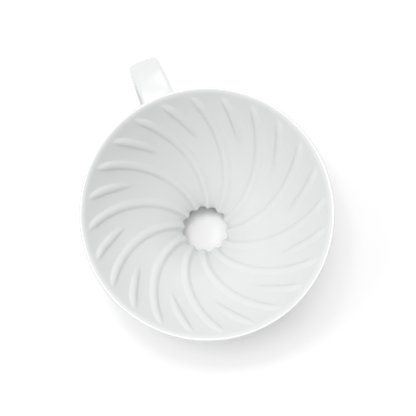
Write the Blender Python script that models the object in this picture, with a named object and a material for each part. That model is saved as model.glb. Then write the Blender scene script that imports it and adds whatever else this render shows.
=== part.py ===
"""A porcelain pour-over dripper: a ribbed 60 degree cone on a saucer-shaped base plate, with a
strap handle and a locating ring underneath.

The four clay parts are cast apart and luted together with slip before firing, so the slip fillet
at each joint is a piece of its own. The frame is +Z up along the cone's axis and +X towards the
handle. The origin is on the axis in the plane of the base plate's underside, which is where a mug
or server carries the dripper.
"""

import math

import bmesh
import bpy
from mathutils import Vector

MM = 0.001
JOINT_GAP = 0.3 * MM  # the slip film between two luted parts

# Cone
RIM_RADIUS = 59.0 * MM
RIM_TOP = 89.0 * MM
CONE_HALF_ANGLE = math.radians(30.0)
INNER_MOUTH_RADIUS = 55.9 * MM
INNER_MOUTH_Z = 86.8 * MM
HOLE_RADIUS = 11.9 * MM
HOLE_WALL_DEPTH = 2.8 * MM
COLLAR_RADIUS = 18.5 * MM  # the cone's lower end, which passes through the base plate
COLLAR_MOUTH_RADIUS = 15.4 * MM
COLLAR_TOP = 12.6 * MM
LIP_OUTER_ROUND = 0.7 * MM
LIP_CREST_RADIUS = RIM_RADIUS - LIP_OUTER_ROUND
OUTER_SLOPE = (RIM_RADIUS - COLLAR_RADIUS) / (RIM_TOP - LIP_OUTER_ROUND - COLLAR_TOP)

# Spiral ribs
RIB_PAIRS = 12  # long ribs, with a short one half-way between each two
RIB_TWIST = math.radians(43.7)  # how far a long rib turns between the hole and the mouth
RIB_TWIST_POWER = 1.1
RIB_PHASE = math.radians(2.0)
RIB_HEIGHT = 1.3 * MM
RIB_WIDTH = 4.9 * MM
RIB_HOLE_WIDTH = 3.2 * MM  # a rib narrows to this at the hole
RIB_NARROWING_FROM = 32.0 * MM
RIB_OUTER_END = 55.3 * MM
RIB_OUTER_FADE = 1.6 * MM
SHORT_RIB_INNER_END = 41.5 * MM
SHORT_RIB_INNER_FADE = 6.0 * MM
LONG_RIB_ROOM = 0.9  # most of the pitch that half a long rib may take, near the hole
SHORT_RIB_ROOM = 0.7  # most of what is left that half a short rib may take
# (offset from the crest as a share of half the width, share of the height) across one rib
RIB_SECTION = ((-1.0, 0.0), (-0.5, 0.72), (0.0, 1.0), (0.5, 0.72), (1.0, 0.0))
COLUMNS_PER_PAIR = 2 * (len(RIB_SECTION) + 1)
INNER_ROWS = 11
OUTER_ROWS = 4
LIP_STEPS = 3
# The columns of vertices lean as the ribs do. The pattern repeats at every pair of ribs, so the
# outer wall only needs the part of the turn that is left over after whole pairs.
OUTER_TWIST = RIB_TWIST % (math.tau / RIB_PAIRS)

# Base plate and the ring below it
PLATE_RADIUS = 46.0 * MM
PLATE_BORE = COLLAR_RADIUS + JOINT_GAP
PLATE_THICKNESS = 4.8 * MM
PLATE_EDGE_ROUND = 2.2 * MM
SEAT_INNER_RADIUS = 31.8 * MM  # outside this the plate's underside rests on the mug's rim
SEAT_RELIEF = 0.1 * MM  # inside it the underside is dished, so that the plate can't rock
RING_OUTER_RADIUS = 28.5 * MM
RING_WALL = 4.6 * MM
RING_DEPTH = 13.0 * MM
RING_DRAFT = 0.5 * MM
RING_FOOT_ROUND = 0.8 * MM

# Handle
STRAP_WIDTH_ROOT = 15.8 * MM
STRAP_WIDTH_FOOT = 14.4 * MM
STRAP_NARROWING = 0.4  # share of the strap's length in which it narrows to its foot's width
STRAP_THICKNESS_ROOT = 5.6 * MM
STRAP_THICKNESS_FOOT = 4.2 * MM
STRAP_SQUARENESS = 3.6  # exponent of the superellipse that is the strap's section
STRAP_SECTION_POINTS = 20
STRAP_ARC_ROWS = (4, 9, 8, 7)
# Centreline in the XZ plane in millimetres, as cubic Bezier arcs that share their end points.
STRAP_ARCS = (
    ((49.5, 76.8), (56.5, 78.2), (61.0, 78.5), (65.5, 78.0)),
    ((65.5, 78.0), (76.0, 76.6), (80.0, 71.0), (80.0, 63.0)),
    ((80.0, 63.0), (80.0, 46.0), (72.5, 26.0), (62.5, 12.5)),
    ((62.5, 12.5), (57.0, 5.9), (52.0, 2.6), (44.0, 2.6)),
)

# Slip fillets
CONE_FILLET = 5.5 * MM
RING_FILLET = 2.0 * MM
HANDLE_FILLET = 2.4 * MM
FILLET_EDGE = 0.4 * MM  # thickness left where a fillet runs out
ROOT_ROW = 1  # the strap's row that lies nearest to the cone's wall
ROOT_BACK_OFF = 10.0 * MM
FILLET_INSET = 0.8 * MM  # how far the foot's fillets stay inside the plate's flat faces
PLATE_CUTTER_HEIGHT = 30.0 * MM

ROUND_STEPS = 4
PLAIN_STEPS = 64
CUTTER_STEPS = 128


def clear_scene():
    """Remove whatever the startup scene holds."""
    for obj in list(bpy.data.objects):
        bpy.data.objects.remove(obj)


def porcelain(name, colour, roughness):
    """A fired and glazed, or bare, white porcelain."""
    material = bpy.data.materials.new(name)
    material.use_nodes = True
    shader = material.node_tree.nodes["Principled BSDF"]
    shader.inputs["Base Color"].default_value = (*colour, 1.0)
    shader.inputs["Roughness"].default_value = roughness
    shader.inputs["Metallic"].default_value = 0.0
    material.diffuse_color = (*colour, 1.0)
    return material


def finish(name, bm, material):
    """Turn a bmesh into a named, smooth-shaded object with its normals pointing out."""
    bmesh.ops.recalc_face_normals(bm, faces=bm.faces)
    mesh = bpy.data.meshes.new(name)
    bm.to_mesh(mesh)
    bm.free()
    mesh.shade_smooth()
    mesh.set_sharp_from_angle(angle=math.radians(40.0))
    mesh.materials.append(material)
    obj = bpy.data.objects.new(name, mesh)
    bpy.context.scene.collection.objects.link(obj)
    return obj


def arc(centre, radii, start_deg, end_deg, steps=ROUND_STEPS):
    """Points of an elliptical arc in the (radius, height) half-plane."""
    points = []
    for i in range(steps + 1):
        angle = math.radians(start_deg + (end_deg - start_deg) * i / steps)
        points.append((centre[0] + radii[0] * math.cos(angle), centre[1] + radii[1] * math.sin(angle)))
    return points


def turned(name, profile, material, steps=PLAIN_STEPS):
    """Spin a closed (radius, height) profile round the Z axis into a ring-shaped solid."""
    bm = bmesh.new()
    verts = [bm.verts.new((radius, 0.0, height)) for radius, height in profile]
    edges = [bm.edges.new((verts[i], verts[i - 1])) for i in range(len(verts))]
    bmesh.ops.spin(
        bm, geom=verts + edges, cent=(0, 0, 0), axis=(0, 0, 1), angle=math.tau, steps=steps,
        use_merge=True,
    )
    bmesh.ops.remove_doubles(bm, verts=bm.verts, dist=1e-6)
    return finish(name, bm, material)


def loft(bm, rings, joined_after=None):
    """Join successive rings of points with quads and cap the two ends.

    With joined_after the last ring is joined to the first instead, that many columns further on.
    """
    loops = [[bm.verts.new(point) for point in ring] for ring in rings]
    if joined_after is None:
        bm.faces.new(loops[0])
        bm.faces.new(reversed(loops[-1]))
    else:
        loops.append(loops[0][-joined_after:] + loops[0][:-joined_after])
    for first, second in zip(loops, loops[1:]):
        for i in range(len(first)):
            bm.faces.new((first[i - 1], first[i], second[i], second[i - 1]))


def smooth_step(value):
    """0 below 0, 1 above 1, and an S-curve between."""
    value = min(1.0, max(0.0, value))
    return value * value * (3.0 - 2.0 * value)


def rib_turn(radius):
    """How far the rib pattern has turned at this radius, counted from the hole."""
    share = (radius - HOLE_RADIUS) / (INNER_MOUTH_RADIUS - HOLE_RADIUS)
    return RIB_TWIST * min(1.0, max(0.0, share)) ** RIB_TWIST_POWER


def rib_half_width(radius):
    """Half a rib's width at this radius: it is narrower near the hole."""
    share = smooth_step((radius - HOLE_RADIUS) / (RIB_NARROWING_FROM - HOLE_RADIUS))
    return (RIB_HOLE_WIDTH + (RIB_WIDTH - RIB_HOLE_WIDTH) * share) / 2.0


def long_rib_share(radius):
    """A long rib's height at this radius, as a share of its full height."""
    return smooth_step((RIB_OUTER_END - radius) / RIB_OUTER_FADE)


def short_rib_share(radius):
    """The same for a short rib, which also fades out at its inner end."""
    return long_rib_share(radius) * smooth_step((radius - SHORT_RIB_INNER_END) / SHORT_RIB_INNER_FADE)


def rib_columns(radius):
    """(angle, share of the rib's height) of every column of vertices round the cone at this radius.

    Each rib has a column at its crest, one on each flank and one at each foot, and the bare wall
    between two ribs has one column in its middle.
    """
    columns = []
    pitch = math.pi / RIB_PAIRS
    long_foot = min(rib_half_width(radius) / radius, LONG_RIB_ROOM * pitch)
    short_foot = min(long_foot, SHORT_RIB_ROOM * (pitch - long_foot))
    for rib in range(2 * RIB_PAIRS):
        is_long = rib % 2 == 0
        foot, next_foot = (long_foot, short_foot) if is_long else (short_foot, long_foot)
        share = long_rib_share(radius) if is_long else short_rib_share(radius)
        crest = rib * pitch
        for offset, height in RIB_SECTION:
            columns.append((crest + offset * foot, height * share))
        columns.append((crest + (foot + pitch - next_foot) / 2.0, 0.0))
    return columns


def wall_ring(radius, height, rib_share, turn):
    """One ring of the cone's surface, with its ribs raised towards the axis and upwards."""
    ring = []
    lift = Vector((-math.cos(CONE_HALF_ANGLE), 0.0, math.sin(CONE_HALF_ANGLE))) * RIB_HEIGHT
    for angle, share in rib_columns(max(radius, HOLE_RADIUS)):
        rise = share * rib_share
        r = radius + lift.x * rise
        z = height + lift.z * rise
        angle += RIB_PHASE + turn
        ring.append((r * math.cos(angle), r * math.sin(angle), z))
    return ring


def inner_height(radius):
    """Height of the cone's inner surface at this radius."""
    return INNER_MOUTH_Z - (INNER_MOUTH_RADIUS - radius) / math.tan(CONE_HALF_ANGLE)


def outer_radius(height):
    """Radius of the cone's outer surface at this height."""
    return COLLAR_RADIUS + OUTER_SLOPE * (height - COLLAR_TOP)


def make_cone_body(material):
    """The cast cone: ribs inside, a scalloped hole at the bottom and a rounded lip at the top."""
    rings = []
    for i in range(INNER_ROWS + 1):
        radius = INNER_MOUTH_RADIUS + (HOLE_RADIUS - INNER_MOUTH_RADIUS) * i / INNER_ROWS
        if i == 0:
            rings.append(wall_ring(radius, INNER_MOUTH_Z, 0.0, rib_turn(radius)))
            radius = RIB_OUTER_END - RIB_OUTER_FADE
        rings.append(wall_ring(radius, inner_height(radius), 1.0, rib_turn(radius)))
    hole_z = inner_height(HOLE_RADIUS)
    rings.append(wall_ring(HOLE_RADIUS, hole_z - HOLE_WALL_DEPTH, 1.0, 0.0))
    rings.append(wall_ring(COLLAR_MOUTH_RADIUS, JOINT_GAP, 0.0, 0.0))
    rings.append(wall_ring(COLLAR_RADIUS, JOINT_GAP, 0.0, 0.0))
    rings.append(wall_ring(COLLAR_RADIUS, COLLAR_TOP, 0.0, 0.0))
    for i in range(1, OUTER_ROWS):
        height = COLLAR_TOP + (RIM_TOP - LIP_OUTER_ROUND - COLLAR_TOP) * i / OUTER_ROWS
        radius = outer_radius(height)
        rings.append(wall_ring(radius, height, 0.0, OUTER_TWIST * i / OUTER_ROWS))
    outer_centre = (LIP_CREST_RADIUS, RIM_TOP - LIP_OUTER_ROUND)
    inner_centre = (LIP_CREST_RADIUS, INNER_MOUTH_Z)
    inner_round = (LIP_CREST_RADIUS - INNER_MOUTH_RADIUS, RIM_TOP - INNER_MOUTH_Z)
    lip_outer = arc(outer_centre, (LIP_OUTER_ROUND, LIP_OUTER_ROUND), 0, 90, LIP_STEPS)
    lip_inner = arc(inner_centre, inner_round, 90, 180, LIP_STEPS)
    for radius, height in lip_outer + lip_inner[1:-1]:
        rings.append(wall_ring(radius, height, 0.0, OUTER_TWIST))
    bm = bmesh.new()
    loft(bm, rings, joined_after=COLUMNS_PER_PAIR)
    return finish("cone_body", bm, material)


def make_base_plate(material):
    """The round saucer plate, with a flat band underneath that seats on a mug or server."""
    round_off = (PLATE_EDGE_ROUND, PLATE_EDGE_ROUND)
    centre = PLATE_RADIUS - PLATE_EDGE_ROUND
    profile = [(PLATE_BORE, SEAT_RELIEF), (SEAT_INNER_RADIUS, 0.0)]
    profile += arc((centre, PLATE_EDGE_ROUND), round_off, -90, 0)
    profile += arc((centre, PLATE_THICKNESS - PLATE_EDGE_ROUND), round_off, 0, 90)
    profile += [(PLATE_BORE, PLATE_THICKNESS)]
    return turned("base_plate", profile, material)


def make_locating_ring(material):
    """The ring under the plate: it drops inside the mug's mouth, and its foot stands on a table."""
    top = -JOINT_GAP
    outer_foot = RING_OUTER_RADIUS - RING_DRAFT
    inner_foot = RING_OUTER_RADIUS - RING_WALL + RING_DRAFT
    round_off = (RING_FOOT_ROUND, RING_FOOT_ROUND)
    foot_z = -RING_DEPTH + RING_FOOT_ROUND
    profile = [(RING_OUTER_RADIUS - RING_WALL, top)]
    profile += arc((inner_foot + RING_FOOT_ROUND, foot_z), round_off, 180, 270)
    profile += arc((outer_foot - RING_FOOT_ROUND, foot_z), round_off, 270, 360)
    profile += [(RING_OUTER_RADIUS, top)]
    return turned("locating_ring", profile, material)


def strap_centreline():
    """(point, direction, share of the strap's length) along the handle, from the cone to the plate."""
    total = sum(STRAP_ARC_ROWS)
    done = 0
    rows = []
    for arc_points, count in zip(STRAP_ARCS, STRAP_ARC_ROWS):
        a, b, c, d = (Vector((x, 0.0, z)) * MM for x, z in arc_points)
        last = arc_points is STRAP_ARCS[-1]
        for i in range(count + last):
            t = i / count
            point = (1 - t) ** 3 * a + 3 * t * (1 - t) ** 2 * b + 3 * t * t * (1 - t) * c + t ** 3 * d
            slope = (1 - t) ** 2 * (b - a) + 2 * t * (1 - t) * (c - b) + t * t * (d - c)
            rows.append((point, slope.normalized(), (done + i) / total))
        done += count
    return rows


def strap_rings(grow=0.0):
    """Rings of the strap's superelliptic section, made bigger all round by grow."""
    rings = []
    sideways = Vector((0.0, 1.0, 0.0))
    power = 2.0 / STRAP_SQUARENESS
    for point, direction, share in strap_centreline():
        outward = sideways.cross(direction)
        narrowed = smooth_step(share / STRAP_NARROWING)
        width = STRAP_WIDTH_ROOT + (STRAP_WIDTH_FOOT - STRAP_WIDTH_ROOT) * narrowed
        half_width = width / 2.0 + grow
        thickness = STRAP_THICKNESS_ROOT + (STRAP_THICKNESS_FOOT - STRAP_THICKNESS_ROOT) * share
        half_thickness = thickness / 2.0 + grow
        ring = []
        for i in range(STRAP_SECTION_POINTS):
            angle = math.tau * i / STRAP_SECTION_POINTS
            across = math.copysign(abs(math.cos(angle)) ** power, math.cos(angle))
            up = math.copysign(abs(math.sin(angle)) ** power, math.sin(angle))
            ring.append(point + sideways * half_width * across + outward * half_thickness * up)
        rings.append(ring)
    return rings


def hide(cutter):
    """A cutter shapes other pieces and isn't one itself."""
    cutter.hide_render = True
    cutter.display_type = "WIRE"
    return cutter


def cut(obj, cutter):
    """Take a cutter's shape away from a piece."""
    modifier = obj.modifiers.new(f"cut_{cutter.name}", "BOOLEAN")
    modifier.operation = "DIFFERENCE"
    modifier.solver = "EXACT"
    modifier.object = cutter


def cone_cutter(name, grow, material):
    """The cone's outer shape without its hollow, made bigger all round by grow."""
    low, high = COLLAR_TOP, RIM_TOP - LIP_OUTER_ROUND
    bm = bmesh.new()
    rings = []
    for height in (low, high):
        radius = outer_radius(height) + grow / math.cos(math.atan(OUTER_SLOPE))
        angles = [math.tau * i / CUTTER_STEPS for i in range(CUTTER_STEPS)]
        rings.append([(radius * math.cos(a), radius * math.sin(a), height) for a in angles])
    loft(bm, rings)
    return hide(finish(name, bm, material))


def plate_cutter(name, grow, material):
    """The base plate's outline as a plain disc, made bigger by grow."""
    bm = bmesh.new()
    bmesh.ops.create_cone(
        bm, cap_ends=True, segments=CUTTER_STEPS, radius1=PLATE_RADIUS + grow,
        radius2=PLATE_RADIUS + grow, depth=PLATE_CUTTER_HEIGHT,
    )
    return hide(finish(name, bm, material))


def strap_cutter(name, grow, material):
    """The handle's strap, made bigger by grow."""
    bm = bmesh.new()
    loft(bm, strap_rings(grow))
    return hide(finish(name, bm, material))


def make_handle(material, cone, plate):
    """The strap handle, trimmed to the cone's wall at the top and to the plate's edge at the foot."""
    bm = bmesh.new()
    loft(bm, strap_rings())
    handle = finish("handle", bm, material)
    cut(handle, cone)
    cut(handle, plate)
    return handle


def concave_corner(corner, size, radial, upward):
    """A closed (radius, height) profile that fills a right-angled corner with a hollow curve."""
    centre = (corner[0] + radial * (size + FILLET_EDGE), corner[1] + upward * (size + FILLET_EDGE))
    start = 180.0 if radial > 0 else 0.0
    end = 270.0 if radial > 0 else -90.0
    if upward < 0:
        start, end = -start, -end
    curve = arc(centre, (size, size), start, end)
    far_up = (corner[0], curve[0][1])
    far_out = (curve[-1][0], corner[1])
    return [corner, far_up, *curve, far_out]


def make_cone_fillet(material):
    """Slip round the collar, where the cone stands in the base plate."""
    corner = (COLLAR_RADIUS + JOINT_GAP, PLATE_THICKNESS + JOINT_GAP)
    return turned("slip_fillet_cone", concave_corner(corner, CONE_FILLET, 1, 1), material)


def make_ring_fillet(material):
    """Slip round the top of the locating ring, under the base plate."""
    corner = (RING_OUTER_RADIUS + JOINT_GAP, -JOINT_GAP)
    return turned("slip_fillet_ring", concave_corner(corner, RING_FILLET, 1, -1), material)


def wall_hit(start, direction):
    """Where a line from inside the cone reaches its outer wall, stopping short by the slip film."""
    film = JOINT_GAP / math.cos(math.atan(OUTER_SLOPE))
    wall = COLLAR_RADIUS + film + OUTER_SLOPE * (start.z - COLLAR_TOP)
    a = direction.x ** 2 + direction.y ** 2 - (OUTER_SLOPE * direction.z) ** 2
    b = 2.0 * (start.x * direction.x + start.y * direction.y - wall * OUTER_SLOPE * direction.z)
    c = start.x ** 2 + start.y ** 2 - wall ** 2
    return start + direction * ((-b + math.sqrt(b * b - 4.0 * a * c)) / (2.0 * a))


def make_handle_root_fillet(material):
    """Slip round the strap where it meets the cone's wall: a collar with a hollow curve."""
    direction = strap_centreline()[ROOT_ROW][1]
    sizes = (JOINT_GAP, JOINT_GAP + FILLET_EDGE, JOINT_GAP + HANDLE_FILLET)
    rings = []
    for near, edge, far in zip(*(strap_rings(size)[ROOT_ROW] for size in sizes)):
        inside = direction * ROOT_BACK_OFF
        corner = wall_hit(near - inside, direction)
        foot = wall_hit(far - inside, direction)
        crown = corner + direction * HANDLE_FILLET
        begin = crown + (edge - near)
        hollow = corner + (edge - near) + direction * FILLET_EDGE
        finish_point = foot + direction * FILLET_EDGE
        curve = []
        for i in range(ROUND_STEPS + 1):
            t = i / ROUND_STEPS
            curve.append((1 - t) ** 2 * begin + 2 * t * (1 - t) * hollow + t * t * finish_point)
        rings.append([corner, crown, *curve, foot])
    bm = bmesh.new()
    loft(bm, rings, joined_after=0)
    return finish("slip_fillet_handle_root", bm, material)


def make_handle_foot_fillet(name, side, material, plate, strap):
    """Slip in the corner between one side of the strap and the plate's edge."""
    half_width = STRAP_WIDTH_FOOT / 2.0
    reach = HANDLE_FILLET + FILLET_EDGE
    edge_x = math.sqrt(PLATE_RADIUS ** 2 - half_width ** 2)
    centre = (edge_x + JOINT_GAP + reach, half_width + JOINT_GAP + reach)
    outline = [(edge_x - HANDLE_FILLET, half_width - FILLET_EDGE)]
    outline.append((centre[0], half_width - FILLET_EDGE))
    for x, y in arc(centre, (HANDLE_FILLET, HANDLE_FILLET), -90, -180):
        outline.append((x, y))
    outline.append((edge_x - HANDLE_FILLET, centre[1]))
    low, high = FILLET_INSET, PLATE_THICKNESS - FILLET_INSET
    bm = bmesh.new()
    loft(bm, [[(x, side * y, z) for x, y in outline] for z in (low, high)])
    fillet = finish(name, bm, material)
    cut(fillet, plate)
    cut(fillet, strap)
    return fillet


def main():
    clear_scene()
    glaze = porcelain("glazed_porcelain", (0.86, 0.87, 0.86), 0.16)
    slip = porcelain("glazed_slip", (0.84, 0.86, 0.85), 0.18)
    foot = porcelain("porcelain_with_bare_foot", (0.84, 0.83, 0.80), 0.35)

    cone = cone_cutter("cutter_cone", JOINT_GAP, glaze)
    plate = plate_cutter("cutter_plate", JOINT_GAP, glaze)
    strap = strap_cutter("cutter_strap", JOINT_GAP, glaze)

    make_cone_body(glaze)
    make_base_plate(glaze)
    make_locating_ring(foot)
    make_handle(glaze, cone, plate)
    make_cone_fillet(slip)
    make_ring_fillet(slip)
    make_handle_root_fillet(slip)
    for name, side in (("left", 1), ("right", -1)):
        make_handle_foot_fillet(f"slip_fillet_handle_foot_{name}", side, slip, plate, strap)


main()
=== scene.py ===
# %% [markdown]
# # A porcelain pour-over dripper
# A dripper is a funnel for coffee. A 60 degree cone holds the filter paper, spiral ribs inside it
# keep the paper off the wall so that the water can run down, and a plate with a ring below it
# seats the funnel on a mug. This one is white porcelain, built here as four parts that a potter
# could stick together with liquid clay, called slip, before glazing and firing them as one piece.
#
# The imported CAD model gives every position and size. Its facets are too coarse for a glossy glaze,
# where each flat shows, so each of its nodes gets a fine surface of its own here.

import bpy
import numpy as np
from mathutils import Matrix, Vector


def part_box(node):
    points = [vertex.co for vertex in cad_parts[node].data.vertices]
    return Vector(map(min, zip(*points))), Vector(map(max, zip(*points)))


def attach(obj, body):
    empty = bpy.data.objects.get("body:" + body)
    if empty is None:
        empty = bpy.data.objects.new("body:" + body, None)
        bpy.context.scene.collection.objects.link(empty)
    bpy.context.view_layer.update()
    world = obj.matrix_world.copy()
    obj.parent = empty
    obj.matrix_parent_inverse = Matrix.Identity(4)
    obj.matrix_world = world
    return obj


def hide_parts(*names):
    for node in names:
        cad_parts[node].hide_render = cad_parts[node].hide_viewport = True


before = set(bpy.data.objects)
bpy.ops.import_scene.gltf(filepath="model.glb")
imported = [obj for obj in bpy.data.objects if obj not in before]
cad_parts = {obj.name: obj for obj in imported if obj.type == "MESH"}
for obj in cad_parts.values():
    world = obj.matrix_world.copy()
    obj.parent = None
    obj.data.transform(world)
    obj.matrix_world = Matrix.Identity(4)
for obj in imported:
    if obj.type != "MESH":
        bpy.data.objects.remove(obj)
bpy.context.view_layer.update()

print("CAD nodes:", sorted(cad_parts))

# %% [markdown]
# ## Tools that every piece shares
# A surface here is a grid of points: one direction of the grid runs along the shape and the other
# runs round it. Numpy works out all the points at once, and the grid's neighbours make the faces.
# The mesh's volume tells which way its faces look: it comes out negative when they look inwards.

# %% Lengths and grids
MM = 0.001
TAU = 2.0 * np.pi


def grid_faces(rows, columns, closed_rows=False, roll=0):
    """Quads between neighbouring rows of a grid that is closed round its columns.

    closed_rows also joins the last row to the first, roll columns further on.
    """
    i = np.arange(rows if closed_rows else rows - 1)[:, None]
    j = np.arange(columns)[None, :]
    shift = np.where(i == rows - 1, roll, 0)
    this_row = i * columns
    next_row = (i + 1) % rows * columns
    corners = [
        this_row + j,
        this_row + (j + 1) % columns,
        next_row + (j + 1 + shift) % columns,
        next_row + (j + shift) % columns,
    ]
    return np.stack(np.broadcast_arrays(*corners), axis=-1).reshape(-1, 4)


def signed_volume(points, quads):
    """A sixth of the sum of a . (b x c) over the triangles of all quads."""
    a, b, c, d = (points[quads[:, k]] for k in range(4))
    return (np.cross(b, c) * a + np.cross(c, d) * a).sum() / 6.0


def add_piece(name, grid, node, closed_rows=False, roll=0, pool_shading=None):
    """Make a smooth closed mesh from a grid of points in millimetres, in place of one CAD node.

    The last argument is how thick the glaze lies at each point, from 0 to 1, and so how much
    painted shade darkens the colour there.
    """
    rows, columns = grid.shape[:2]
    points = grid.reshape(-1, 3) * MM
    quads = grid_faces(rows, columns, closed_rows, roll)
    outwards = signed_volume(points, quads) > 0
    if not outwards:
        quads = quads[:, ::-1]
    faces = quads.tolist()
    if not closed_rows:
        first, last = list(range(columns)), list(range((rows - 1) * columns, rows * columns))
        faces += [first[::-1], last] if outwards else [first, last[::-1]]
    mesh = bpy.data.meshes.new(name)
    mesh.from_pydata(points, [], faces)
    mesh.shade_smooth()
    # Glaze thickness per point; the material darkens the colour there as painted shade.
    if pool_shading is not None:
        layer = mesh.attributes.new("glaze_pool_and_shade", "FLOAT", "POINT")
        layer.data.foreach_set("value", pool_shading.reshape(-1).astype(np.float32))
    mesh.validate()
    piece = bpy.data.objects.new(name, mesh)
    bpy.context.scene.collection.objects.link(piece)
    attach(piece, "root")
    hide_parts(node)
    size = (points.max(0) - points.min(0)) / MM
    print(f"{name}: {len(faces)} faces, {size[0]:.1f} x {size[1]:.1f} x {size[2]:.1f} mm")
    return piece


# %% Sizes read off the CAD nodes
def node_box(name):
    """Lowest and highest corner of a CAD node, in millimetres."""
    low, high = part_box(name)
    return np.array(low) / MM, np.array(high) / MM


cone_high = node_box("cone_body")[1]
plate_high = node_box("base_plate")[1]
ring_low, ring_high = node_box("locating_ring")
RIM_RADIUS = cone_high[1]
RIM_TOP = cone_high[2]
PLATE_RADIUS = plate_high[1]
PLATE_TOP = plate_high[2]
RING_RADIUS = ring_high[1]
FOOT_Z = ring_low[2]
print(f"rim radius {RIM_RADIUS:.1f}, rim top {RIM_TOP:.1f}, plate radius {PLATE_RADIUS:.1f}")
print(f"plate top {PLATE_TOP:.1f}, ring radius {RING_RADIUS:.1f}, foot {FOOT_Z:.1f} mm")

# %% [markdown]
# ## The base plate
# A potter turns or jiggers a plate: one profile spun round an axis. The profile is drawn as straight
# runs and arcs in the (radius, height) half-plane. The straight runs get extra points close to their
# ends, so that the smooth shading of a corner doesn't creep over the flat face next to it.

# %% Profiles and turning
def run(start, end, count=8):
    """Points on a straight line, closer together near both ends: a cosine spacing."""
    share = (1.0 - np.cos(np.linspace(0.0, np.pi, count))) / 2.0
    return np.array(start) + share[:, None] * (np.array(end) - np.array(start))


def arc(centre, radii, start, end, count=12):
    """Points on an ellipse's arc: centre + radii * (cos, sin) of an angle in degrees."""
    angle = np.radians(np.linspace(start, end, count))
    return np.array(centre) + np.stack([np.cos(angle), np.sin(angle)], -1) * np.array(radii)


def curve(points, count=16):
    """A Bezier curve: the straight-line blend of its control points, repeated down to one point."""
    share = np.linspace(0.0, 1.0, count)[:, None]
    level = [np.broadcast_to(np.asarray(p, float), (count, len(p))) for p in points]
    while len(level) > 1:
        level = [a + share * (b - a) for a, b in zip(level, level[1:])]
    return level[0]


def joined(*parts):
    """One profile out of several, without the points that repeat where two meet."""
    points = np.concatenate(parts)
    step = np.linalg.norm(points - np.roll(points, 1, axis=0), axis=1)
    return points[step > 1e-6]


def turned(profile, columns=256):
    """Spin a profile: each (r, z) becomes the circle (r cos a, r sin a, z)."""
    angle = np.linspace(0.0, TAU, columns, endpoint=False)
    radius, height = profile[:, :1], profile[:, 1:]
    return np.stack(np.broadcast_arrays(radius * np.cos(angle), radius * np.sin(angle), height), -1)


# %% Turn the base plate
COLLAR_RADIUS = 18.5
PLATE_EDGE = 2.2
SEAT_INNER_RADIUS = 31.8  # the flat band outside this rests on the mug
SEAT_RELIEF = 0.1  # inside it the plate is dished, which keeps the seat a face of its own
PLATE_BORE = COLLAR_RADIUS - 0.1  # just inside the collar's skin, so no gap shows

plate_profile = joined(
    run((PLATE_BORE, SEAT_RELIEF), (SEAT_INNER_RADIUS, 0.0), 8),
    run((SEAT_INNER_RADIUS, 0.0), (PLATE_RADIUS - PLATE_EDGE, 0.0), 8),
    arc((PLATE_RADIUS - PLATE_EDGE, PLATE_EDGE), (PLATE_EDGE, PLATE_EDGE), -90, 0),
    run((PLATE_RADIUS, PLATE_EDGE), (PLATE_RADIUS, PLATE_TOP - PLATE_EDGE), 3),
    arc((PLATE_RADIUS - PLATE_EDGE, PLATE_TOP - PLATE_EDGE), (PLATE_EDGE, PLATE_EDGE), 0, 90),
    run((PLATE_RADIUS - PLATE_EDGE, PLATE_TOP), (PLATE_BORE, PLATE_TOP), 14),
)
base_plate = add_piece(
    "base_plate_glazed", turned(plate_profile), "base_plate", closed_rows=True
)

# %% [markdown]
# ## The locating ring
# The ring drops inside the mug's mouth and stops the dripper sliding off. Its walls lean a little, so
# that it came out of its mould. The glaze is wiped off its foot before firing, because glaze
# would stick the dripper to the kiln shelf.

# %% Turn the locating ring
RING_WALL = 4.6
RING_DRAFT = 0.5
FOOT_ROUND = 0.8
RING_TOP = 0.4  # the ring's top is sunk into the plate

ring_out, ring_in = RING_RADIUS - RING_DRAFT, RING_RADIUS - RING_WALL + RING_DRAFT
ring_profile = joined(
    run((RING_RADIUS, RING_TOP), (ring_out, FOOT_Z + FOOT_ROUND), 10),
    arc((ring_out - FOOT_ROUND, FOOT_Z + FOOT_ROUND), (FOOT_ROUND, FOOT_ROUND), 0, -90),
    run((ring_out - FOOT_ROUND, FOOT_Z), (ring_in + FOOT_ROUND, FOOT_Z), 6),
    arc((ring_in + FOOT_ROUND, FOOT_Z + FOOT_ROUND), (FOOT_ROUND, FOOT_ROUND), -90, -180),
    run((ring_in, FOOT_Z + FOOT_ROUND), (RING_RADIUS - RING_WALL, RING_TOP), 10),
)
locating_ring = add_piece(
    "locating_ring_turned", turned(ring_profile), "locating_ring",
    closed_rows=True,
)

# %% [markdown]
# ## The cone
# The cone is turned too, but ribs stand on its inner wall. Twelve long ribs turn from the hole
# to the rim, and a short rib starts half-way between each two. One grid covers the whole piece: up
# the inside, over the lip, down the outside and back up through the hole. Each row has its own
# radius, height and turn. The columns crowd together on the ribs, where the surface bends most.

# %% The ribs
HALF_ANGLE = np.radians(30.0)
MOUTH_RADIUS, MOUTH_Z = 55.9, 86.8
HOLE_RADIUS = 11.9
RIB_PAIRS = 12
RIB_TWIST = np.radians(43.7)
RIB_TWIST_POWER = 1.1
RIB_PHASE = np.radians(2.0)
RIB_HEIGHT = 1.0
HOLE_RIB_HEIGHT = 1.45  # the ribs stand a little higher at the hole
RIB_HALF_WIDTH = 2.6
HOLE_SHARPNESS = 2.0  # near the hole a rib's section is a bell, so its crest is narrower
BELL_FROM = 34.0
RIB_OUTER_END = 55.3
RIB_END_LENGTH = 4.2
SHORT_RIB_START = 39.5
SHORT_RIB_TAPER = 9.0
GLAZE_ROUNDING = 0.14  # how much the glaze rounds a rib's foot, as a share of its height
RELIEF_LIMIT = -3.0  # further from a rib than this the wall is left bare
# Beside each rib the glaze pools, and the colour there is darkened as painted shade at the rib's
# foot.
POOL_SHADE_DEPTH, POOL_SHADE_WIDTH, POOL_SHADE_REACH = 0.25, 0.35, 1.2  # where glaze pools beside a rib
LONG_RIB_LIMIT, SHORT_RIB_LIMIT = 0.85, 0.6  # shares of the space that ribs may take at the hole

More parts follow.
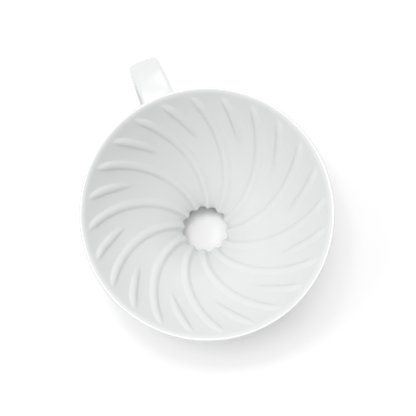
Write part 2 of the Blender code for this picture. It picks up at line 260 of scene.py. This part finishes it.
PITCH = np.pi / RIB_PAIRS
HALF_COLUMNS = np.array([0.25, 0.5, 0.72, 0.88, 1.0, 1.12])  # in half widths from the crest
RIB_COLUMNS = np.concatenate([-HALF_COLUMNS[::-1], [0.0], HALF_COLUMNS])
GAP_COLUMNS = np.array([0.2, 0.4, 0.6, 0.8])
COLUMNS_PER_PAIR = 2 * (len(RIB_COLUMNS) + len(GAP_COLUMNS))


def rib_turn(radius):
    """How far the ribs have turned at a radius: a power of its share of the way out."""
    share = np.clip((radius - HOLE_RADIUS) / (MOUTH_RADIUS - HOLE_RADIUS), 0.0, 1.0)
    return RIB_TWIST * share**RIB_TWIST_POWER


def sharpness(radius):
    """Exponent of a rib's section, which grows along an S-curve, 3 s^2 - 2 s^3, towards the hole."""
    share = np.clip((BELL_FROM - radius) / (BELL_FROM - HOLE_RADIUS), 0.0, 1.0)
    return 1.0 + (HOLE_SHARPNESS - 1.0) * share**2 * (3.0 - 2.0 * share)


def column_angles(radius):
    """Angle of every column at each radius: fixed places across a rib, then across a gap."""
    long_half = np.minimum(RIB_HALF_WIDTH / radius, LONG_RIB_LIMIT * PITCH)
    short_half = np.minimum(long_half, SHORT_RIB_LIMIT * (PITCH - long_half))
    angles = []
    for rib in range(2 * RIB_PAIRS):
        half, next_half = (long_half, short_half) if rib % 2 == 0 else (short_half, long_half)
        reach = RIB_COLUMNS[-1]
        gap = PITCH - reach * (half + next_half)
        angles.append(rib * PITCH + half[:, None] * RIB_COLUMNS)
        angles.append(rib * PITCH + reach * half[:, None] + gap[:, None] * GAP_COLUMNS)
    return np.concatenate(angles, axis=1)


def rounded(value):
    """The positive part of a value, with a soft corner at zero: (v + sqrt(v^2 + e^2)) / 2."""
    return (value + np.sqrt(value**2 + GLAZE_ROUNDING**2)) / 2.0


def rib_relief(radius, angle):
    """Height of the ribs, as a share of a rib's height, and the glaze that pools at their feet.

    A rib is 1 - u^2 across and 1 - w^2 along its ends, with u the distance from its crest in half
    widths and w how far a point is into the rib's end. Below zero there is bare wall. The glaze
    lies thickest where that value is a little below zero, and thins out as a bell curve; that share
    also sets how much painted shade darkens the colour at a rib's foot.
    """
    relief = np.zeros(angle.shape)
    pool_shade = np.zeros(angle.shape)
    outer = np.clip((radius - RIB_OUTER_END) / RIB_END_LENGTH + 1.0, 0.0, None)
    inner = np.clip((SHORT_RIB_START - radius) / SHORT_RIB_TAPER + 1.0, 0.0, None)
    for start, ends in ((0.0, outer**2), (PITCH, outer**2 + inner**2)):
        offset = (angle - start + PITCH) % (2.0 * PITCH) - PITCH
        across = offset * radius[:, None] / RIB_HALF_WIDTH
        body = 1.0 - across**2 - ends[:, None]
        relief += rounded(body) ** sharpness(radius)[:, None] * (body > RELIEF_LIMIT)
        # A band just outside each rib's foot gets the pooled glaze's tint and painted shade.
        beside = np.exp(-((body + POOL_SHADE_DEPTH) / POOL_SHADE_WIDTH) ** 2)
        pool_shade += beside * np.clip(POOL_SHADE_REACH - ends[:, None], 0.0, 1.0)
    return relief, np.clip(pool_shade, 0.0, 1.0)


# %% [markdown]
# The lip rolls over softly on the inside and more tightly on the outside, where it was trimmed. The
# glaze softens the edge of the hole. Both are short curves between the long straight walls.

# %% Rows of the cone
SLOPE = np.array([np.sin(HALF_ANGLE), np.cos(HALF_ANGLE)])  # up the inner wall
LIP_ROUND = 0.7
COLLAR_TOP = 12.6
COLLAR_MOUTH = 15.4
COLLAR_BLEND = np.array([0.5, 1.6])  # from the wall's corner with the collar to the curve's start
COLLAR_STRAIGHT = 8.0  # below this height the collar is a plain cylinder
COLLAR_FOOT = 0.05
MOUTH_EDGE, MOUTH_LEAN = 0.6, 0.25
HOLE_FOOT_Z = 7.8  # here the flare ends and the hole's wall begins
HOLE_FOOT_LEAN, HOLE_FOOT_BELOW, HOLE_FOOT_ABOVE = 0.3, 0.7, 0.8
HOLE_EDGE = 0.9
WALL_END = 5.0  # the last stretch of wall, where the ribs end, has closer rows
LIP_START = 0.4

mouth = np.array([MOUTH_RADIUS, MOUTH_Z])
hole_corner = mouth - SLOPE * (MOUTH_RADIUS - HOLE_RADIUS) / SLOPE[0]
crest = np.array([RIM_RADIUS - LIP_ROUND, RIM_TOP])
lip_centre = np.array([RIM_RADIUS - LIP_ROUND, RIM_TOP - LIP_ROUND])
lean = np.degrees(np.arctan2(RIM_RADIUS - COLLAR_RADIUS, lip_centre[1] - COLLAR_TOP))
outer_round = arc(lip_centre, (LIP_ROUND, LIP_ROUND), 90, -lean, 16)

inner_wall = run(hole_corner + SLOPE * HOLE_EDGE, mouth - SLOPE * WALL_END, 110)
rib_ends = run(mouth - SLOPE * WALL_END, mouth - SLOPE * LIP_START, 18)
lip_corner = mouth + SLOPE * (RIM_TOP - MOUTH_Z) / SLOPE[1]
lip_inside = curve([mouth - SLOPE * LIP_START, lip_corner, crest], 22)
outer_wall = run(outer_round[-1], np.array([COLLAR_RADIUS, COLLAR_TOP]) + COLLAR_BLEND, 16)
collar = curve([outer_wall[-1], (COLLAR_RADIUS, COLLAR_TOP), (COLLAR_RADIUS, COLLAR_STRAIGHT)], 8)
collar_foot = run((COLLAR_RADIUS, COLLAR_STRAIGHT), (COLLAR_RADIUS, COLLAR_FOOT), 4)
underside = run((COLLAR_RADIUS, COLLAR_FOOT), (COLLAR_MOUTH + MOUTH_EDGE, COLLAR_FOOT), 5)
mouth_edge = curve([
    underside[-1],
    (COLLAR_MOUTH, COLLAR_FOOT),
    (COLLAR_MOUTH - MOUTH_LEAN, COLLAR_FOOT + MOUTH_EDGE),
], 6)
flare = run(mouth_edge[-1], (HOLE_RADIUS + HOLE_FOOT_LEAN, HOLE_FOOT_Z - HOLE_FOOT_BELOW), 14)
hole_wall = curve([
    flare[-1],
    (HOLE_RADIUS, HOLE_FOOT_Z),
    (HOLE_RADIUS, HOLE_FOOT_Z + HOLE_FOOT_ABOVE),
], 6)
hole_edge = curve(
    [(HOLE_RADIUS, hole_corner[1] - HOLE_EDGE), hole_corner, hole_corner + SLOPE * HOLE_EDGE], 9
)
inside = joined(inner_wall, rib_ends, lip_inside)
outside = joined(outer_round, outer_wall, collar, collar_foot, underside, mouth_edge)
through = joined(flare, hole_wall, hole_edge)[1:-1]
cone_profile = np.concatenate([inside, outside[1:], through])
print(f"{len(cone_profile)} rows by {RIB_PAIRS * COLUMNS_PER_PAIR} columns")

# %% Put the ribs on the rows
# Each row says how much rib it carries and which radius sets its columns' places. The pattern
# repeats at every pair of ribs, so the outside only turns by what is left over after a whole pair.
LIP_FADE = 2.0  # the ribs' last traces are gone this far up the lip
THROUGH_FADE_FROM, THROUGH_FADE = 4.0, 3.5  # the ribs fade out down through the hole
TALLER_FROM = 30.0  # nearer the hole than this the ribs grow taller

profile_radius, profile_height = cone_profile.T
spare_twist = RIB_TWIST % (2.0 * PITCH)
count_in, count_out, count_through = len(inside), len(outside) - 1, len(through)
outside_share = np.clip(profile_height[count_in:-count_through] / RIM_TOP, 0.0, 1.0)
pair_turn = RIB_TWIST - spare_twist

row_turn = np.concatenate([
    rib_turn(inside[:, 0]),
    pair_turn + spare_twist * outside_share,
    np.full(count_through, pair_turn),
])
into_hole = np.linspace(0.0, 1.0, count_through) ** 0.5
pattern_radius = np.concatenate([
    np.maximum(inside[:, 0], HOLE_RADIUS),
    np.full(count_out, MOUTH_RADIUS),
    MOUTH_RADIUS + (HOLE_RADIUS - MOUTH_RADIUS) * into_hole,
])
rib_rows = np.concatenate([
    np.clip((RIM_TOP - inside[:, 1]) / LIP_FADE, 0.0, 1.0),
    np.zeros(count_out),
    np.clip((through[:, 1] - THROUGH_FADE_FROM) / THROUGH_FADE, 0.0, 1.0),
])

angles = column_angles(pattern_radius)
rib_radius = np.concatenate([pattern_radius[:-count_through], np.full(count_through, HOLE_RADIUS)])
relief, pool_shade = rib_relief(rib_radius, angles)
near_hole = np.clip((TALLER_FROM - rib_radius) / (TALLER_FROM - HOLE_RADIUS), 0.0, 1.0)
rib_height = RIB_HEIGHT + (HOLE_RIB_HEIGHT - RIB_HEIGHT) * near_hole
rise = relief * (rib_rows * rib_height)[:, None]
spin = angles + RIB_PHASE + row_turn[:, None]
r = profile_radius[:, None] - rise * np.cos(HALF_ANGLE)
z = profile_height[:, None] + rise * np.sin(HALF_ANGLE)
cone_grid = np.stack([r * np.cos(spin), r * np.sin(spin), z], axis=-1)
# The cone carries the pooled glaze's tint and painted shade beside its ribs, only where ribs stand.
cone = add_piece(
    "cone_ribbed", cone_grid, "cone_body", closed_rows=True,
    roll=COLUMNS_PER_PAIR, pool_shading=pool_shade * rib_rows[:, None],
)

# %% [markdown]
# ## The handle
# The handle is a strap of clay pulled or pressed to a flat, round-edged section and bent into a loop.
# A section carried along a path makes it. The section is a superellipse, which is an ellipse with
# squarer shoulders. Its first ring is not square to the path: it lies on the cone inside the
# wall, so that the strap joins the wall without poking through to the inside.

# %% The strap's path and section
STRAP_WIDTH, FOOT_WIDTH = 15.8, 14.4
NARROWING = 0.4
STRAP_THICKNESS, FOOT_THICKNESS = 5.6, 4.2
SQUARENESS = 3.6
SECTION_POINTS = 88
ARC_ROWS = (24, 54, 48, 42)
ARC_POINTS = (
    ((49.5, 76.8), (56.5, 78.2), (61.0, 78.5), (65.5, 78.0)),
    ((65.5, 78.0), (76.0, 76.6), (80.0, 71.0), (80.0, 63.0)),
    ((80.0, 63.0), (80.0, 46.0), (72.5, 26.0), (62.5, 12.5)),
    ((62.5, 12.5), (57.0, 5.9), (52.0, 2.6), (44.0, 2.6)),
)


def superellipse(squareness, count):
    """Points (cos^p, sin^p) with p = 2 / squareness, keeping each sign."""
    angle = np.linspace(0.0, TAU, count, endpoint=False)
    across, up = np.cos(angle), np.sin(angle)
    power = 2.0 / squareness
    return np.sign(across) * abs(across) ** power, np.sign(up) * abs(up) ** power


def sweep(path, half_width, half_height, sideways, squareness=SQUARENESS, count=SECTION_POINTS):
    """Carry a superellipse along a path: point + width * sideways + height * the normal to both."""
    direction = np.gradient(path, axis=0)
    direction /= np.linalg.norm(direction, axis=1, keepdims=True)
    sideways = np.broadcast_to(sideways, path.shape)
    normal = np.cross(sideways, direction)
    across, up = superellipse(squareness, count)
    wide = (sideways * half_width)[:, None, :] * across[None, :, None]
    high = (normal * half_height)[:, None, :] * up[None, :, None]
    return path[:, None, :] + wide + high, direction


arcs = [curve(points, rows + 1)[:-1] for points, rows in zip(ARC_POINTS, ARC_ROWS)]
flat_path = np.concatenate(arcs + [np.array([ARC_POINTS[-1][-1]])])
strap_path = np.insert(flat_path, 1, 0.0, axis=1)
along = np.linspace(0.0, 1.0, len(strap_path))[:, None]
narrowed = np.clip(along / NARROWING, 0.0, 1.0)
narrowed = narrowed**2 * (3.0 - 2.0 * narrowed)
strap_half = (STRAP_WIDTH + (FOOT_WIDTH - STRAP_WIDTH) * narrowed) / 2.0
strap_thick = (STRAP_THICKNESS + (FOOT_THICKNESS - STRAP_THICKNESS) * along) / 2.0
SIDEWAYS = np.array([0.0, 1.0, 0.0])
strap_grid, strap_direction = sweep(strap_path, strap_half, strap_thick, SIDEWAYS)


# %% Fit the strap's root to the cone
WALL_SLOPE = (outer_round[-1][0] - COLLAR_RADIUS) / (outer_round[-1][1] - COLLAR_TOP)


def wall_hit(start, direction, depth=0.0):
    """Where lines meet the cone's outer wall, depth below its surface.

    The wall is x^2 + y^2 = (a + b z)^2, which is a quadratic in the distance along each line.
    """
    wall = COLLAR_RADIUS - depth / np.cos(np.arctan(WALL_SLOPE))
    wall = wall + WALL_SLOPE * (start[:, 2] - COLLAR_TOP)
    a = direction[0] ** 2 + direction[1] ** 2 - (WALL_SLOPE * direction[2]) ** 2
    b = 2.0 * (start[:, 0] * direction[0] + start[:, 1] * direction[1]
               - wall * WALL_SLOPE * direction[2])
    c = start[:, 0] ** 2 + start[:, 1] ** 2 - wall**2
    distance = (-b + np.sqrt(b * b - 4.0 * a * c)) / (2.0 * a)
    return start + direction * distance[:, None]


ROOT_X = 55.5  # the strap is cut here, where it is still straight
ROOT_BACK, ROOT_DEPTH = 10.0, 1.0
ROOT_GAP = 4  # rows left out between the ring on the wall and the strap
ROOT_ROW = int(np.argmax(strap_path[:, 0] > ROOT_X))
root_direction = strap_direction[ROOT_ROW]
root_start = strap_grid[ROOT_ROW] - ROOT_BACK * root_direction
root_ring = wall_hit(root_start, root_direction, depth=ROOT_DEPTH)
handle_grid = np.concatenate([root_ring[None], strap_grid[ROOT_ROW + ROOT_GAP:]])
handle = add_piece("handle_strap", handle_grid, "handle")

# %% [markdown]
# ## The slip fillets
# Where two parts were luted, the potter wipes the slip into a hollow curve. A fillet starts tangent
# to one surface and ends tangent to the other, so it is a Bezier curve with its middle control
# point in the corner. The rest of its section lies hidden inside the two parts.

# %% Fillets round the cone and the ring
SUNK = 0.4  # how deep a fillet's hidden side lies
DIP = 0.06  # how far its thin edges dip under the surfaces they meet
# The fillets' hollow corners get the pooled glaze's tint and painted shade all over.
CORNER_POOL_SHADE = 0.6  # glaze lies thick in a hollow corner
CONE_FILLET_TOP, CONE_FILLET_REACH = 12.2, 6.6
RING_FILLET_FOOT, RING_FILLET_REACH = -3.0, 2.9
RING_SIDE_DIP, PLATE_DIP = 2.5 * DIP, DIP + 0.02  # deeper, as the ring leans away

cone_fillet_profile = joined(
    curve([(COLLAR_RADIUS - DIP, CONE_FILLET_TOP), (COLLAR_RADIUS, PLATE_TOP),
           (COLLAR_RADIUS + CONE_FILLET_REACH, PLATE_TOP - DIP)], 24),
    [(COLLAR_RADIUS + CONE_FILLET_REACH, PLATE_TOP - SUNK),
     (COLLAR_RADIUS - SUNK, PLATE_TOP - SUNK),
     (COLLAR_RADIUS - SUNK, CONE_FILLET_TOP)],
)
cone_fillet_grid = turned(cone_fillet_profile)
cone_fillet = add_piece(
    "fillet_under_cone", cone_fillet_grid, "slip_fillet_cone", closed_rows=True,
    pool_shading=np.full(cone_fillet_grid.shape[:2], CORNER_POOL_SHADE),
)

ring_fillet_profile = joined(
    curve([(RING_RADIUS - RING_SIDE_DIP, RING_FILLET_FOOT), (RING_RADIUS, 0.0),
           (RING_RADIUS + RING_FILLET_REACH, PLATE_DIP)], 16),
    [(RING_RADIUS + RING_FILLET_REACH, SUNK), (RING_RADIUS - SUNK, SUNK),
     (RING_RADIUS - SUNK, RING_FILLET_FOOT)],
)
ring_fillet_grid = turned(ring_fillet_profile)
ring_fillet = add_piece(
    "fillet_round_ring", ring_fillet_grid, "slip_fillet_ring", closed_rows=True,
    pool_shading=np.full(ring_fillet_grid.shape[:2], CORNER_POOL_SHADE),
)

# %% [markdown]
# The handle's root meets a curved wall at a slant, so its fillet has no axis to turn round. Each
# point of the strap's section looks along the strap for the wall, once on its own outline and once
# on a wider one, and the hollow curve runs between the two. The outline's normal is the gradient
# of the superellipse |x / w|^n + |y / h|^n.

# %% Fillet round the handle's root
ROOT_FILLET = 2.8
HOLLOW_ROWS = 16
BEHIND_WALL = 12.0  # the search for the wall starts this far back

ring_here = strap_grid[ROOT_ROW]
flat_size = np.array([strap_half[ROOT_ROW, 0], strap_thick[ROOT_ROW, 0]])
across, up = superellipse(SQUARENESS, SECTION_POINTS)
gradient = np.stack([np.sign(across) * abs(across) ** (SQUARENESS - 1.0) / flat_size[0],
                     np.sign(up) * abs(up) ** (SQUARENESS - 1.0) / flat_size[1]], -1)
gradient /= np.linalg.norm(gradient, axis=1, keepdims=True)
root_normal = np.cross(SIDEWAYS, root_direction)
outward = gradient[:, :1] * SIDEWAYS + gradient[:, 1:] * root_normal

back = BEHIND_WALL * root_direction
corner = wall_hit(ring_here - back, root_direction)
on_strap = corner + ROOT_FILLET * root_direction - DIP * outward
on_wall = wall_hit(ring_here + ROOT_FILLET * outward - back, root_direction, depth=DIP)
inside_wall = wall_hit(ring_here + ROOT_FILLET * outward - back, root_direction, depth=SUNK)
inside_corner = wall_hit(ring_here - SUNK * outward - back, root_direction, depth=SUNK)
inside_strap = on_strap - SUNK * outward
share = np.linspace(0.0, 1.0, HOLLOW_ROWS)[:, None, None]
hollow = (1 - share) ** 2 * on_strap + 2 * share * (1 - share) * corner + share**2 * on_wall
root_fillet_grid = np.concatenate(
    [hollow, inside_wall[None], inside_corner[None], inside_strap[None]]
)
# The root fillet's hollow is darkened most at its middle: pooled glaze and painted shade.
root_pool_shade = np.zeros(root_fillet_grid.shape[:2])
root_pool_shade[:HOLLOW_ROWS] = CORNER_POOL_SHADE * np.sin(np.linspace(0.0, np.pi, HOLLOW_ROWS))[:, None]
root_fillet = add_piece(
    "fillet_at_handle_root", root_fillet_grid, "slip_fillet_handle_root",
    closed_rows=True, pool_shading=root_pool_shade,
)

# %% Fillets at the handle's foot
FOOT_FILLET = 4.5
FILLET_HALF = 1.7  # half the width of the bar that fills the corner
FOOT_MIDDLE_Z = 2.5
FOOT_HALF_HEIGHT = 2.1
FOOT_DIP = 0.4  # how far the bar's ends dip into the plate and the strap
WIDTH_TAPER, HEIGHT_TAPER = 0.4, 0.55
BAR_SQUARENESS = 2.6
# The foot fillets carry the pooled glaze's tint and painted shade evenly.
FOOT_POOL_SHADE = 0.4


def foot_fillet(side):
    """A bar bent along the hollow curve between the plate's edge and the strap's side.

    Its path is a Bezier curve with the corner in the middle, moved into the corner by half the
    bar's width. Both ends taper and dip into the parts, with the fourth power of the distance
    from the middle.
    """
    half = FOOT_WIDTH / 2.0
    turn = np.arcsin(half / PLATE_RADIUS)
    reach = turn + FOOT_FILLET / PLATE_RADIUS
    start = PLATE_RADIUS * np.array([np.cos(reach), np.sin(reach)])
    middle = PLATE_RADIUS * np.array([np.cos(turn), np.sin(turn)])
    end = np.array([middle[0] + FOOT_FILLET, half])
    path = curve([start, middle, end], 20)
    tangent = np.gradient(path, axis=0)
    tangent /= np.linalg.norm(tangent, axis=1, keepdims=True)
    ends = np.linspace(-1.0, 1.0, len(path))[:, None] ** 4
    half_width = FILLET_HALF * (1.0 - WIDTH_TAPER * ends)
    inward = np.stack([tangent[:, 1], -tangent[:, 0]], -1)
    path = path + (half_width + FOOT_DIP * ends) * inward
    path = np.stack([path[:, 0], side * path[:, 1], np.full(len(path), FOOT_MIDDLE_Z)], -1)
    half_height = FOOT_HALF_HEIGHT * (1.0 - HEIGHT_TAPER * ends)
    upright = np.array([0.0, 0.0, 1.0])
    return sweep(path, half_height, half_width, upright, BAR_SQUARENESS, count=40)[0]


foot_fillets = []
for side_name, side in (("left", 1.0), ("right", -1.0)):
    bar = foot_fillet(side)
    foot_fillets.append(add_piece(
        f"fillet_at_handle_foot_{side_name}", bar, f"slip_fillet_handle_foot_{side_name}",
        pool_shading=np.full(bar.shape[:2], FOOT_POOL_SHADE),
    ))

# %% [markdown]
# ## Glazed porcelain
# Hard-paste porcelain is white, dense and faintly grey-green in its shadows. It is dipped in a clear
# glaze that fires to a smooth glass, so the eye sees a soft white body under a sharp shine. The
# glaze lies thicker in corners, where it looks a little cooler; there the colour is also darkened as
# painted shade, beside the ribs and in the slip's hollow corners. The glaze's skin is never quite
# flat: it has a slow ripple, like orange peel. Glass has an index of refraction near 1.5.
#
# The ring's foot is bare. Fired porcelain without glaze is matt, a little warm and as fine as an
# eggshell to the touch, so it gets a high roughness and a small, tight grain. The line where the
# glaze was wiped off wanders a little.

# %% Colours and nodes
def linear(code):
    """sRGB hex to linear RGB: v / 12.92 below 0.04045, else ((v + 0.055) / 1.055) ^ 2.4."""
    value = np.array([int(code[i:i + 2], 16) for i in (1, 3, 5)]) / 255.0
    low, high = value / 12.92, ((value + 0.055) / 1.055) ** 2.4
    return (*np.where(value <= 0.04045, low, high).tolist(), 1.0)


def add_node(tree, kind, settings=None, links=None, **properties):
    """Add one node: properties on the node, settings on its inputs and links from other sockets."""
    node = tree.nodes.new(kind)
    for name, value in properties.items():
        setattr(node, name, value)
    for key, value in (settings or {}).items():
        node.inputs[key].default_value = value
    for key, socket in (links or {}).items():
        tree.links.new(socket, node.inputs[key])
    return node


def new_material(name):
    """An empty node material and its tree."""
    material = bpy.data.materials.new(name)
    material.use_nodes = True
    material.node_tree.nodes.clear()
    return material, material.node_tree


# %% The porcelain's materials
PORCELAIN_WHITE = "#D9DADA"  # darker than most porcelain: it was matched along with the lights
PORCELAIN_DEEP = "#D6D8D7"  # where the body shows a little greyer
# The pooled glaze's cooler tint, darkened as painted shade for the hollows beside ribs and in
# corners.
GLAZE_POOL_AND_SHADE = "#D5D8D7"
GLAZE_IOR = 1.5
GLOSSIEST, DULLEST = 0.13, 0.19  # the glaze's roughness
CLOUD_MM = 35.0
RIPPLE_MM = 4.0
RIPPLE_DEPTH_MM, RIPPLE_STRENGTH = 0.02, 0.25
BARE_FOOT = "#E2DCCF"
BARE_ROUGHNESS = 0.75
GLAZE_LINE_MM = 0.9  # how far above the foot the glaze begins
LINE_WOBBLE_MM, LINE_WIDTH_MM = 0.5, 0.12
GRAIN_MM = 0.25  # the real grain is a few hundredths of a millimetre, too fine to show
GRAIN_DEPTH_MM, GRAIN_STRENGTH = 0.04, 0.5


def noise_in_mm(size, detail):
    """The scale and detail of a noise whose lumps are about size millimetres across."""
    return {"Scale": 1.0 / (size * MM), "Detail": detail}


def glazed(name, bare_below=None):
    """Glazed porcelain. With bare_below, in metres, everything below that height is unglazed."""
    material, tree = new_material(name)
    place = add_node(tree, "ShaderNodeTexCoord").outputs["Object"]
    clouds = add_node(tree, "ShaderNodeTexNoise", noise_in_mm(CLOUD_MM, 2.0), {"Vector": place}
                      ).outputs["Fac"]
    body = add_node(tree, "ShaderNodeMix",
                    {"A": linear(PORCELAIN_WHITE), "B": linear(PORCELAIN_DEEP)},
                    {"Factor": clouds}, data_type="RGBA").outputs["Result"]
    # Where the glaze pools, the colour turns darker and cooler: partly thicker glaze, partly painted
    # shade.
    pooled_shade = add_node(tree, "ShaderNodeAttribute", attribute_name="glaze_pool_and_shade").outputs["Fac"]
    colour = add_node(tree, "ShaderNodeMix", {"B": linear(GLAZE_POOL_AND_SHADE)},
                      {"Factor": pooled_shade, "A": body}, data_type="RGBA").outputs["Result"]
    gloss = add_node(tree, "ShaderNodeMapRange", {"To Min": GLOSSIEST, "To Max": DULLEST},
                     {"Value": clouds}).outputs["Result"]
    ripple = add_node(tree, "ShaderNodeTexNoise", noise_in_mm(RIPPLE_MM, 1.0), {"Vector": place}
                      ).outputs["Fac"]
    bump = add_node(tree, "ShaderNodeBump",
                    {"Strength": RIPPLE_STRENGTH, "Distance": RIPPLE_DEPTH_MM * MM},
                    {"Height": ripple}).outputs["Normal"]
    if bare_below is not None:
        height = add_node(tree, "ShaderNodeSeparateXYZ", links={"Vector": place}).outputs["Z"]
        wobble = add_node(tree, "ShaderNodeMath", {1: LINE_WOBBLE_MM * MM}, {0: clouds},
                          operation="MULTIPLY").outputs["Value"]
        edge = add_node(tree, "ShaderNodeMath", links={0: height, 1: wobble},
                        operation="SUBTRACT").outputs["Value"]
        bare = add_node(tree, "ShaderNodeMapRange",
                        {"From Min": bare_below, "From Max": bare_below - LINE_WIDTH_MM * MM},
                        {"Value": edge}).outputs["Result"]
        colour = add_node(tree, "ShaderNodeMix", {"B": linear(BARE_FOOT)},
                          {"Factor": bare, "A": colour}, data_type="RGBA").outputs["Result"]
        gloss = add_node(tree, "ShaderNodeMix", {"B": BARE_ROUGHNESS},
                         {"Factor": bare, "A": gloss}).outputs["Result"]
        grain = add_node(tree, "ShaderNodeTexNoise", noise_in_mm(GRAIN_MM, 2.0),
                         {"Vector": place}).outputs["Fac"]
        depth = add_node(tree, "ShaderNodeMath", links={0: grain, 1: bare},
                         operation="MULTIPLY").outputs["Value"]
        bump = add_node(tree, "ShaderNodeBump",
                        {"Strength": GRAIN_STRENGTH, "Distance": GRAIN_DEPTH_MM * MM},
                        {"Height": depth, "Normal": bump}).outputs["Normal"]
    shader = add_node(tree, "ShaderNodeBsdfPrincipled", {"Metallic": 0.0, "IOR": GLAZE_IOR},
                      {"Base Color": colour, "Roughness": gloss, "Normal": bump})
    add_node(tree, "ShaderNodeOutputMaterial", links={"Surface": shader.outputs["BSDF"]})
    print(f"{name}: {len(tree.nodes)} nodes")
    return material


# %% Dress the pieces
# The slip is the same clay under the same glaze, but it is a material of its own.
porcelain = glazed("glazed_porcelain")
slip = glazed("glazed_slip")
footed = glazed("porcelain_with_bare_foot", bare_below=(FOOT_Z + GLAZE_LINE_MM) * MM)
for piece in (base_plate, cone, handle):
    piece.data.materials.append(porcelain)
for piece in (cone_fillet, ring_fillet, root_fillet, *foot_fillets):
    piece.data.materials.append(slip)
locating_ring.data.materials.append(footed)

# %% [markdown]
# ## Floor, light and camera
# The dripper stands on its foot on plain white paper, which is matt and nearly as white as snow.

# %% The floor
FLOOR_HALF = 2.0
PAPER_WHITE = "#FCFCFC"
PAPER_ROUGHNESS = 0.9

floor_z = FOOT_Z * MM
corners = FLOOR_HALF * np.array([(-1, -1), (1, -1), (1, 1), (-1, 1)])
floor_mesh = bpy.data.meshes.new("floor")
floor_mesh.from_pydata([(x, y, floor_z) for x, y in corners], [], [(0, 1, 2, 3)])
floor = bpy.data.objects.new("floor", floor_mesh)
bpy.context.scene.collection.objects.link(floor)
paper, paper_tree = new_material("matt_white_paper")
paper_shader = add_node(paper_tree, "ShaderNodeBsdfPrincipled",
                        {"Base Color": linear(PAPER_WHITE), "Roughness": PAPER_ROUGHNESS})
add_node(paper_tree, "ShaderNodeOutputMaterial", links={"Surface": paper_shader.outputs["BSDF"]})
floor.data.materials.append(paper)
print(f"the floor lies at {floor_z / MM:.1f} mm")

# %% [markdown]
# The camera looks almost straight down into the cone from 0.65 m, with a long lens, so the rim
# stays nearly a circle. It is turned so that the handle points up and to the left.

# %% The camera
CAMERA_TURN = np.radians(-22.44)
CAMERA_PLACE = Vector((-61.21, 32.16, 738.0)) * MM
CAMERA_TARGET = Vector((1.97, -1.27, 88.0)) * MM
SENSOR_MM = 36.0
LENS_MM = 122.63
CLIP_START = 0.01

IMAGE_UP = Vector((np.cos(CAMERA_TURN), np.sin(CAMERA_TURN), 0.0))
IMAGE_RIGHT = Vector((IMAGE_UP.y, -IMAGE_UP.x, 0.0))


def look_at(obj, place, target, up):
    """Put an object at a place with its -Z axis on the target and its Y axis towards up."""
    back = (place - target).normalized()
    right = up.cross(back).normalized()
    axes = Matrix((right, back.cross(right), back)).transposed()
    obj.matrix_world = Matrix.Translation(place) @ axes.to_4x4()


camera_data = bpy.data.cameras.new("camera")
camera_data.sensor_width = SENSOR_MM
camera_data.lens = LENS_MM
camera_data.clip_start = CLIP_START
camera = bpy.data.objects.new("camera", camera_data)
bpy.context.scene.collection.objects.link(camera)
look_at(camera, CAMERA_PLACE, CAMERA_TARGET, IMAGE_UP)
bpy.context.scene.camera = camera
print(f"the camera is {(CAMERA_PLACE - CAMERA_TARGET).length:.2f} m from the rim")

# %% [markdown]
# A white cone shows its shape only by how its walls take the light. A softbox straight above gives
# most of it, one on the left and a window beyond the dripper make the gradient round the inside,
# and a small lamp sharpens the shadow. The white room fills the rest.

# %% The lights
ROOM_STRENGTH = 0.27
ROOM_WHITE = "#FFFFFF"


def softbox(name, turn, tilt, height, size, power):
    """A round softbox aimed at the origin.

    turn is its direction in degrees from the camera's right, anticlockwise. tilt is how far it
    stands out for each unit of height, size its diameter in metres and power in watts.
    """
    side = IMAGE_RIGHT * np.cos(np.radians(turn)) + IMAGE_UP * np.sin(np.radians(turn))
    data = bpy.data.lights.new(name, "AREA")
    data.shape = "DISK"
    data.size = size
    data.energy = power
    light = bpy.data.objects.new(name, data)
    bpy.context.scene.collection.objects.link(light)
    place = side * tilt * height + Vector((0.0, 0.0, height))
    look_at(light, place, Vector((0.0, 0.0, 0.0)), IMAGE_UP)
    print(f"{name}: {size} m across, {place.length:.2f} m away, {power} W")


softbox("key_softbox", turn=175.0, tilt=0.5, height=1.4, size=0.6, power=7.8)
softbox("top_softbox", turn=0.0, tilt=0.0, height=1.8, size=0.65, power=16.2)
softbox("window", turn=80.0, tilt=0.9, height=1.1, size=1.0, power=5.6)
softbox("small_lamp", turn=145.0, tilt=0.15, height=1.4, size=0.27, power=3.6)

world = bpy.data.worlds.new("white_room")
world.use_nodes = True
background = world.node_tree.nodes["Background"]
background.inputs["Color"].default_value = linear(ROOM_WHITE)
background.inputs["Strength"].default_value = ROOM_STRENGTH
bpy.context.scene.world = world

# %% [markdown]
# Film and cameras don't cut off at white: bright tones bend over towards it. Without that bend the
# lip and the handle, which face the lights, would lose all their shape. The tone curve is nearly
# straight up to 0.8, where most of the cone's inside lies, and reaches white above 1.

# %% The tone curve
WHITE_LEVEL = 1.12  # the brightness that becomes white
# Pairs of the brightness that comes in and the brightness that is shown.
SHOULDER = ((0.45, 0.45), (0.8, 0.797), (0.9, 0.863), (1.0, 0.9), (1.06, 0.95))

view = bpy.context.scene.view_settings
view.view_transform = "Standard"
view.use_curve_mapping = True
tones = view.curve_mapping
tones.white_level = (WHITE_LEVEL, WHITE_LEVEL, WHITE_LEVEL)
combined = tones.curves[3]
for brightness, shown in SHOULDER:
    combined.points.new(brightness / WHITE_LEVEL, shown)
for point in combined.points:
    point.handle_type = "AUTO_CLAMPED"
tones.update()
samples = [round(tones.evaluate(combined, value / WHITE_LEVEL), 3) for value in (0.5, 1.0)]
print("0.5 and 1.0 are shown as", samples)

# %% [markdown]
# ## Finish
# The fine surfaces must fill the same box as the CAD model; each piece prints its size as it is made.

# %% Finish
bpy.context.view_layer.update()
